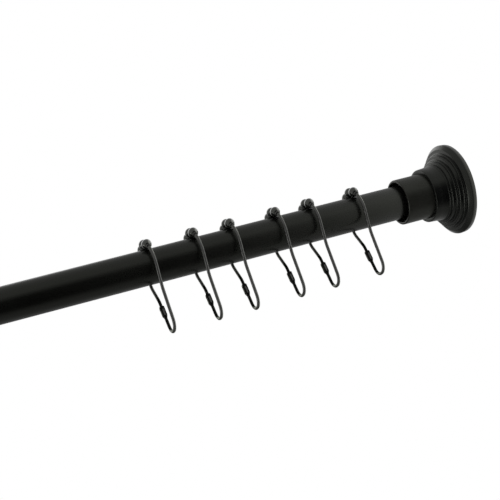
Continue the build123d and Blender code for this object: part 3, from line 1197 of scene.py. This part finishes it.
@dataclass
class RollerHooks:
    """The six hooks: a bent wire with a snap catch, and three bored balls that roll on the tube."""

    hooks: int = 6
    balls: int = 3
    wire_r: float = 1.15 * MM
    ball_r: float = 3.7 * MM
    ball_bore_r: float = 1.65 * MM
    ball_segments: int = 40
    ball_steps: int = 24
    ball_seat_gap: float = 0.1 * MM
    ball_side_gap: float = 0.1 * MM
    ball_lean: float = 4.0
    crimp_r: float = 1.95 * MM
    crimp_length: float = 1.0 * MM
    crimp_segments: int = 24
    front_wrap: float = 15.3
    back_wrap: float = 4.8
    front_leg_inset: float = 4.7 * MM
    front_bend_r: float = 20.0 * MM
    loop_drop: float = 33.3 * MM
    loop_width: float = 14.5 * MM
    loop_bend_r: float = 7.25 * MM
    shoulder_run: float = 10.0 * MM
    shoulder_bend_r: float = 10.0 * MM
    neck_inset: float = 8.0 * MM
    neck_drop: float = 12.9 * MM
    catch_run: float = 9.2 * MM
    catch_length: float = 10.0 * MM
    catch_width: float = 3.6 * MM
    catch_depth: float = 3.4 * MM
    catch_taper: float = 3.2 * MM
    catch_lead: float = 1.0 * MM
    catch_steps: int = 40
    catch_sides: int = 28
    catch_start: float = 0.75  # its size at its blunt end, as a share
    catch_square: float = 4.5  # how square its section is, where 2 is round
    channel_sides: int = 12
    channel_share: float = 0.72  # the widest that its channel is, as a share of its half width
    painted_highlight_share: float = 0.26  # how far the painted highlight on its face runs each way, as a share of its length
    past_painted_shade: float = 40.0 * MM  # a place along the wire that is well past the painted shade at its ends
    dark_end: float = 1.5 * MM  # how much longer the painted shade at the catch's end is
    ear_sharp: int = 3  # the power that narrows the ear round the section
    ear_height: float = 0.6 * MM
    ear_length: float = 0.8 * MM
    ear_inset: float = 2.2 * MM
    tip_gap: float = 0.5 * MM
    catch_overlap: float = 1.5 * MM
    channel_gap: float = 0.15 * MM
    arc_steps: int = 44

    def __post_init__(self) -> None:
        """Works out the arc over the tube and the balls' places on it."""
        tube_r = Span.of("outer_tube").radius
        self.arc_r = tube_r + self.ball_seat_gap + self.ball_r
        chord = 2 * self.ball_r + self.ball_side_gap
        self.ball_pitch = degrees(2 * asin(chord / (2 * self.arc_r)))
        self.ball_middle = 90 + self.ball_lean

    def arc_point(self, angle: float) -> Vector:
        """The place on the arc across and up, with the angle counted from the back over the top."""
        return Vector((self.arc_r * cos(radians(angle)), self.arc_r * sin(radians(angle))))

    def on_arc(self, angle: float) -> Matrix:
        """The placing that lays a piece's axis along the wire.

        Args:
            angle: Where on the arc, counted from the back over the top.

        Returns:
            The placing.
        """
        across, up = self.arc_point(angle)
        turn = radians(angle)
        along, out = Vector((0, -sin(turn), cos(turn))), Vector((0, cos(turn), sin(turn)))
        placing = Matrix((along, out, along.cross(out))).transposed().to_4x4()
        placing.translation = (0, across, up)
        return placing

    def corners(self) -> dict[str, Vector]:
        """Works out the wire's corners in the hook's own plane.

        Returns:
            The corners by name, with the back leg's direction as "leg".
        """
        back = self.arc_point(-self.back_wrap)
        front = self.arc_point(180 + self.front_wrap)
        wrap = radians(self.front_wrap)
        back_down = Vector((-sin(radians(self.back_wrap)), -cos(radians(self.back_wrap))))
        shoulder = back + back_down * self.shoulder_run
        neck = shoulder + Vector((-self.neck_inset, -self.neck_drop))
        front_leg = self.front_leg_inset - self.arc_r
        fall = (front_leg - front.x) / sin(wrap)
        low = -self.arc_r - self.loop_drop
        back_low = Vector((front_leg + self.loop_width, low))
        leg = (back_low - neck).normalized()
        return {
            "shoulder": shoulder,
            "neck": neck,
            "leg": leg,
            "catch": neck + leg * self.catch_run,
            "back_low": back_low,
            "front_low": Vector((front_leg, low)),
            "front_bend": front + Vector((sin(wrap), -cos(wrap))) * fall,
        }

    def bent_wire(self) -> bpy.types.Mesh:
        """Bends the wire from its snap tip over the tube and round the loop to the catch.

        Returns:
            Its mesh, whose "along" is counted from the nearer of its two ends, where the shade is
            painted.
        """
        at = self.corners()
        route = [(at["catch"], 0.0)]
        route += [(at[corner], self.shoulder_bend_r) for corner in ("neck", "shoulder")]
        sweep = 180 + self.back_wrap + self.front_wrap
        for step in range(self.arc_steps + 1):
            route.append((self.arc_point(-self.back_wrap + sweep * step / self.arc_steps), 0.0))
        route.append((at["front_bend"], self.front_bend_r))
        route.append((at["front_low"], self.loop_bend_r))
        route.append((at["back_low"], self.loop_bend_r))
        route.append((at["catch"] + at["leg"] * self.catch_overlap, 0.0))
        points = [(0.0, place.x, place.y) for place, _ in route]
        base = polyline(points, [bend for _, bend in route], False)
        mesh = TREES.wire.make(base, FINISHES[Slot.HOOK_WIRE].material(), Wire_Radius=self.wire_r)
        places = mesh.attributes["along"].data
        runs = [place.value for place in places]
        # the painted shade runs a little further at the catch's end
        end = max(runs) - self.dark_end
        places.foreach_set("value", [min(run, end - run) for run in runs])
        return mesh

    def catch_section(self, run: float) -> list[tuple[float, float]]:
        """One cross-section of the catch.

        Args:
            run: Where it is along the leg, counted from the catch's middle.

        Returns:
            Its corners, as places across and out.
        """
        half = self.catch_length / 2
        lead = min(1.0, (run + half) / self.catch_lead)
        taper = max(0.0, (run - (half - self.catch_taper)) / self.catch_taper)
        ease = taper * taper * (3 - 2 * taper)
        shrink = self.catch_start + (1 - self.catch_start) * sqrt(max(0.0, 1 - (1 - lead) ** 2))
        width = (self.catch_width / 2 * (1 - ease) + self.wire_r * ease) * shrink
        depth = (self.catch_depth / 2 * (1 - ease) + self.wire_r * ease) * shrink
        power = 2 / (self.catch_square * (1 - ease) + 2 * ease)
        channel_r = min(self.wire_r + self.channel_gap, width * self.channel_share)
        opening = asin(min(1.0, channel_r / width) ** (1 / power))
        ear = self.ear_height * max(0.0, 1 - ((run - self.ear_inset + half) / self.ear_length) ** 2)
        places = []
        for k in range(self.catch_sides + 1):
            turn = opening + (2 * pi - 2 * opening) * k / self.catch_sides
            across, out = sin(turn), cos(turn)
            across = abs(across) ** power * (1 if across > 0 else -1)
            out = abs(out) ** power * (1 if out > 0 else -1)
            side = max(0.0, -across) ** self.ear_sharp
            bump = ear * side * max(0.0, 1 - (out * depth / self.ear_length) ** 2)
            places.append((across * width - bump, out * depth))
        brim = places[-1][1]
        floor = brim if run > self.tip_gap else 0.0
        for k in range(self.channel_sides + 1):
            turn = pi * k / self.channel_sides
            sink = channel_r * sin(turn) if run <= self.tip_gap else 0.0
            places.append((-channel_r * cos(turn), floor - sink))
        return places

    def catch(self) -> bpy.types.Mesh:
        """Makes the flattened end of the wire, with the channel that the tip snaps into.

        Returns:
            Its mesh.
        """
        at = self.corners()
        leg = Vector((0, *at["leg"]))
        out = Vector((0, -leg.z, leg.y))
        middle = Vector((0, *at["catch"]))
        steps = range(self.catch_steps + 1)
        runs = [self.catch_length * (k / self.catch_steps - 0.5) for k in steps]
        runs = [run for run in runs if abs(run - self.tip_gap) > WELD]
        runs = sorted(runs + [self.tip_gap, self.tip_gap + 2 * WELD])
        shape = bmesh.new()
        # The catch keeps "along" at 0, so it is darkened all over with painted shade, save a
        # painted highlight along the middle of its face.
        unshaded = shape.verts.layers.float.new("along")
        rings = []
        for run in runs:
            ring = [
                shape.verts.new(middle + leg * run + Vector((across, 0, 0)) + out * height)
                for across, height in self.catch_section(run)
            ]
            if abs(run) < self.painted_highlight_share * self.catch_length:
                ring[self.catch_sides // 2][unshaded] = self.past_painted_shade
            rings.append(ring)
        for here, after in zip(rings, rings[1:]):
            for k in range(len(here)):
                after_k = (k + 1) % len(here)
                shape.faces.new((here[k], here[after_k], after[after_k], after[k]))
        shape.faces.new(rings[0])
        shape.faces.new(rings[-1])
        bmesh.ops.recalc_face_normals(shape, faces=shape.faces)
        for face in shape.faces:
            face.smooth = True
        for edge in shape.edges:
            edge.smooth = len(edge.link_faces) == 2 and edge.calc_face_angle(0.0) < SMOOTH_ANGLE
        mesh = bpy.data.meshes.new("catch")
        shape.to_mesh(mesh)
        shape.free()
        mesh.materials.append(FINISHES[Slot.HOOK_WIRE].material())
        return mesh

    def crimps(self) -> list[bpy.types.Mesh]:
        """Makes the two stops on the arc that keep the balls together.

        Returns:
            Their meshes.
        """
        ball_half = sqrt(self.ball_r**2 - self.ball_bore_r**2)
        reach = self.ball_pitch * (self.balls - 1) / 2
        reach += degrees((ball_half + self.ball_side_gap + self.crimp_length) / self.arc_r)
        half, core = self.crimp_length / 2, self.wire_r / 2
        outline = Outline().to(-half, core).to(-half, self.crimp_r, half / 2)
        outline.to(half, self.crimp_r, half / 2).to(half, core)
        ring = outline.turned(Slot.HOOK_WIRE, Segments=self.crimp_segments)
        # the stops are kept clear of the wire's painted shade
        places = ring.attributes.new("along", "FLOAT", "POINT")
        places.data.foreach_set("value", [self.past_painted_shade] * len(ring.vertices))
        placings = [self.on_arc(self.ball_middle - reach), self.on_arc(self.ball_middle + reach)]
        return [moved_copy(ring, placing) for placing in placings]

    def ball(self) -> bpy.types.Mesh:
        """Makes one bored ball with its axis along the rod.

        Returns:
            Its mesh.
        """
        half = sqrt(self.ball_r**2 - self.ball_bore_r**2)
        outline = Outline().to(half, self.ball_bore_r).to(-half, self.ball_bore_r)
        rise = self.ball_r - self.ball_bore_r
        outline.bow(half, self.ball_bore_r, rise, self.ball_steps).corners.pop()
        return outline.turned(Slot.ROLLER_BALL, Segments=self.ball_segments)

    def build(self) -> None:
        """Makes one hook and sets a copy of it on every hook's body."""
        wire = joined([self.bent_wire(), self.catch(), *self.crimps()])
        ball = self.ball()
        first = self.ball_middle + self.ball_pitch * (self.balls - 1) / 2
        for number in range(1, self.hooks + 1):
            low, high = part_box(f"hook_{number}_ball_1")
            along = Matrix.Translation(((low.x + high.x) / 2, 0, 0))
            node = f"hook_{number}_wire"
            place_piece(f"{node}_bent", moved_copy(wire, along), node)
            for k in range(self.balls):
                node = f"hook_{number}_ball_{k + 1}"
                placing = along @ self.on_arc(first - self.ball_pitch * k)
                place_piece(f"{node}_bored", moved_copy(ball, placing), node)


@dataclass(frozen=True)
class Glow:
    """A soft bright spot of the room, seen only in reflections.

    Attributes:
        way: Where it is.
        reach: How near to that way a direction is, as a cosine, at its rim and at its middle.
        level: Its brightness.
    """

    way: Vector
    reach: tuple[float, float]
    level: float


@dataclass
class Studio:
    """The camera at the photograph's angle, a pale floor, a soft lamp and a white surround."""

    camera_place: Vector = Vector((-0.4804, -0.8252, -0.2217))
    camera_right: Vector = Vector((0.9105, -0.2527, -0.3274))
    camera_up: Vector = Vector((0.2383, -0.3265, 0.9147))
    camera_back: Vector = Vector((-0.3380, -0.9108, -0.2371))
    lens: float = 90.27
    sensor: float = 36.0
    shift: tuple[float, float] = (-0.0003, 0.001)
    nearest: float = 0.01
    floor_level: float = -0.45
    floor_size: float = 24.0
    floor_colour: Colour = (0.8, 0.8, 0.79)
    floor_pale: float = 1.04
    floor_grain: float = 0.3
    floor_roughness: float = 0.8
    floor_specular: float = 0.1
    floor_fade: tuple[float, float] = (1.2, 4.0)
    lamp_place: Vector = Vector((0.2, 0.6, 2.4))
    lamp_aim: Vector = Vector((-0.2, 0.0, 0.0))
    lamp_size: float = 3.0
    lamp_power: float = 12.0
    surround: float = 0.7
    room_level: float = 0.4  # of the room that only reflections show
    room_fall: float = 0.45  # how much darker that room is straight down, as a share
    fall_reach: tuple[float, float] = (0.0, -1.0)
    dark_way: Vector = Vector((0.138, -0.872, -0.469))
    dark_reach: tuple[float, float] = (0.56, 0.88)
    light_side: tuple[float, float] = (0.4, 0.62)
    low_way: Vector = Vector((-0.45, 0.85, -0.28))
    low_reach: tuple[float, float] = (0.75, 0.95)
    low_depth: float = 0.7
    glows: tuple[Glow, ...] = (
        Glow(Vector((1.0, 0.0, 0.0)), (0.53, 0.7), 1.1),
        Glow(Vector((-0.97, 0.12, -0.2)), (0.93, 0.985), 3.0),
        Glow(Vector((-0.15, 0.82, 0.55)), (0.86, 0.99), 1.0),
    )

    def camera(self) -> None:
        """Sets the camera."""
        lens = bpy.data.cameras.new("camera")
        lens.lens, lens.sensor_width = self.lens, self.sensor
        lens.shift_x, lens.shift_y = self.shift
        lens.clip_start = self.nearest
        eye = bpy.data.objects.new("camera", lens)
        axes = Matrix((self.camera_right, self.camera_up, self.camera_back)).transposed().to_4x4()
        axes.translation = self.camera_place
        eye.matrix_world = axes
        bpy.context.scene.collection.objects.link(eye)
        bpy.context.scene.camera = eye

    def floor(self) -> None:
        """Makes the floor, which turns white far from the object and is clear from below."""
        material = bpy.data.materials.new("floor")
        material.use_nodes = True
        graph = Graph(material.node_tree)
        shader = material.node_tree.nodes["Principled BSDF"]
        shader.inputs["Roughness"].default_value = self.floor_roughness
        shader.inputs["Specular IOR Level"].default_value = self.floor_specular
        place = graph.object_place()
        grain = graph.noise(place, self.floor_grain, Detail.BROKEN)
        pale = tuple(level * self.floor_pale for level in self.floor_colour)
        Finish.feed(graph, shader, Base_Color=graph.mix_colour(grain, self.floor_colour, pale))
        away = graph.node("ShaderNodeVectorMath", {"operation": "LENGTH"}, {0: place}).out("Value")
        fade = away.share(self.floor_fade) * graph.node("ShaderNodeLightPath").out("Is Camera Ray")
        white = graph.node("ShaderNodeEmission", {}, {"Color": (1, 1, 1, 1), "Strength": 1.0})
        solid = Signal(graph, shader.outputs[0])
        above = graph.node("ShaderNodeMixShader", {}, {0: fade, 1: solid, 2: white})
        below = graph.node("ShaderNodeNewGeometry").out("Backfacing")
        clear = graph.node("ShaderNodeBsdfTransparent")
        mixed = graph.node("ShaderNodeMixShader", {}, {0: below, 1: above, 2: clear})
        output = material.node_tree.nodes["Material Output"]
        graph.tree.links.new(mixed.socket, output.inputs["Surface"])
        half = self.floor_size / 2
        mesh = bpy.data.meshes.new("floor")
        sides = ((-half, -half), (half, -half), (half, half), (-half, half))
        mesh.from_pydata([(x, y, self.floor_level) for x, y in sides], [], [(0, 1, 2, 3)])
        mesh.materials.append(material)
        floor = bpy.data.objects.new("floor", mesh)
        floor.visible_glossy = False
        bpy.context.scene.collection.objects.link(floor)

    def lamp(self) -> None:
        """Sets one soft square lamp overhead, which reflections don't show."""
        light = bpy.data.lights.new("top_lamp", "AREA")
        light.shape, light.size, light.energy = "SQUARE", self.lamp_size, self.lamp_power
        lamp = bpy.data.objects.new("top_lamp", light)
        lamp.location = self.lamp_place
        aim = self.lamp_aim - self.lamp_place
        lamp.rotation_euler = aim.to_track_quat("-Z", "Y").to_euler()
        lamp.visible_camera = lamp.visible_glossy = False
        bpy.context.scene.collection.objects.link(lamp)

    @staticmethod
    def towards(graph: Graph, way: Signal, aim: Vector) -> Signal:
        """How near a direction is to an aim, as a cosine."""
        return graph.vector("DOT_PRODUCT", way, tuple(aim.normalized())).out("Value")

    def world(self) -> None:
        """Sets the surround: white to the camera, a pale room with a dark side to reflections."""
        world = bpy.data.worlds.new("surround")
        bpy.context.scene.world = world
        world.use_nodes = True
        graph = Graph(world.node_tree)
        path = graph.node("ShaderNodeLightPath")
        way = graph.node("ShaderNodeTexCoord").out("Generated")
        parts = graph.node("ShaderNodeSeparateXYZ", {}, {"Vector": way})
        front = self.towards(graph, way, self.dark_way).share(self.dark_reach)
        dark = front * (1 - parts.out("X").share(self.light_side))
        fall = parts.out("Z").share(self.fall_reach) * self.room_fall
        low = self.towards(graph, way, self.low_way).share(self.low_reach)
        room = (1 - dark) * (1 - fall) * (1 - low * self.low_depth) * self.room_level
        for glow in self.glows:
            room = room + self.towards(graph, way, glow.way).share(glow.reach) * glow.level
        seen = 1 - (1 - path.out("Is Camera Ray")) * (1 - path.out("Is Transmission Ray"))
        glossy = path.out("Is Glossy Ray") * (1 - seen)
        strength = seen + glossy * room + (1 - seen) * (1 - glossy) * self.surround
        background = world.node_tree.nodes["Background"]
        background.inputs["Color"].default_value = (1, 1, 1, 1)
        graph.tree.links.new(strength.socket, background.inputs["Strength"])

    def build(self) -> None:
        """Sets the camera, the floor, the lamp and the surround."""
        bpy.context.scene.view_settings.view_transform = "Standard"
        self.camera()
        self.floor()
        self.lamp()
        self.world()


def main() -> None:
    """Builds every sub-assembly in order, then the studio."""
    logging.basicConfig(level=logging.INFO, format="%(name)s: %(message)s")
    Tubes().build()
    for end in End:
        WallEnd(end).build()
    TwistLock().build()
    RollerHooks().build()
    Studio().build()


if __name__ == "__main__":
    main()
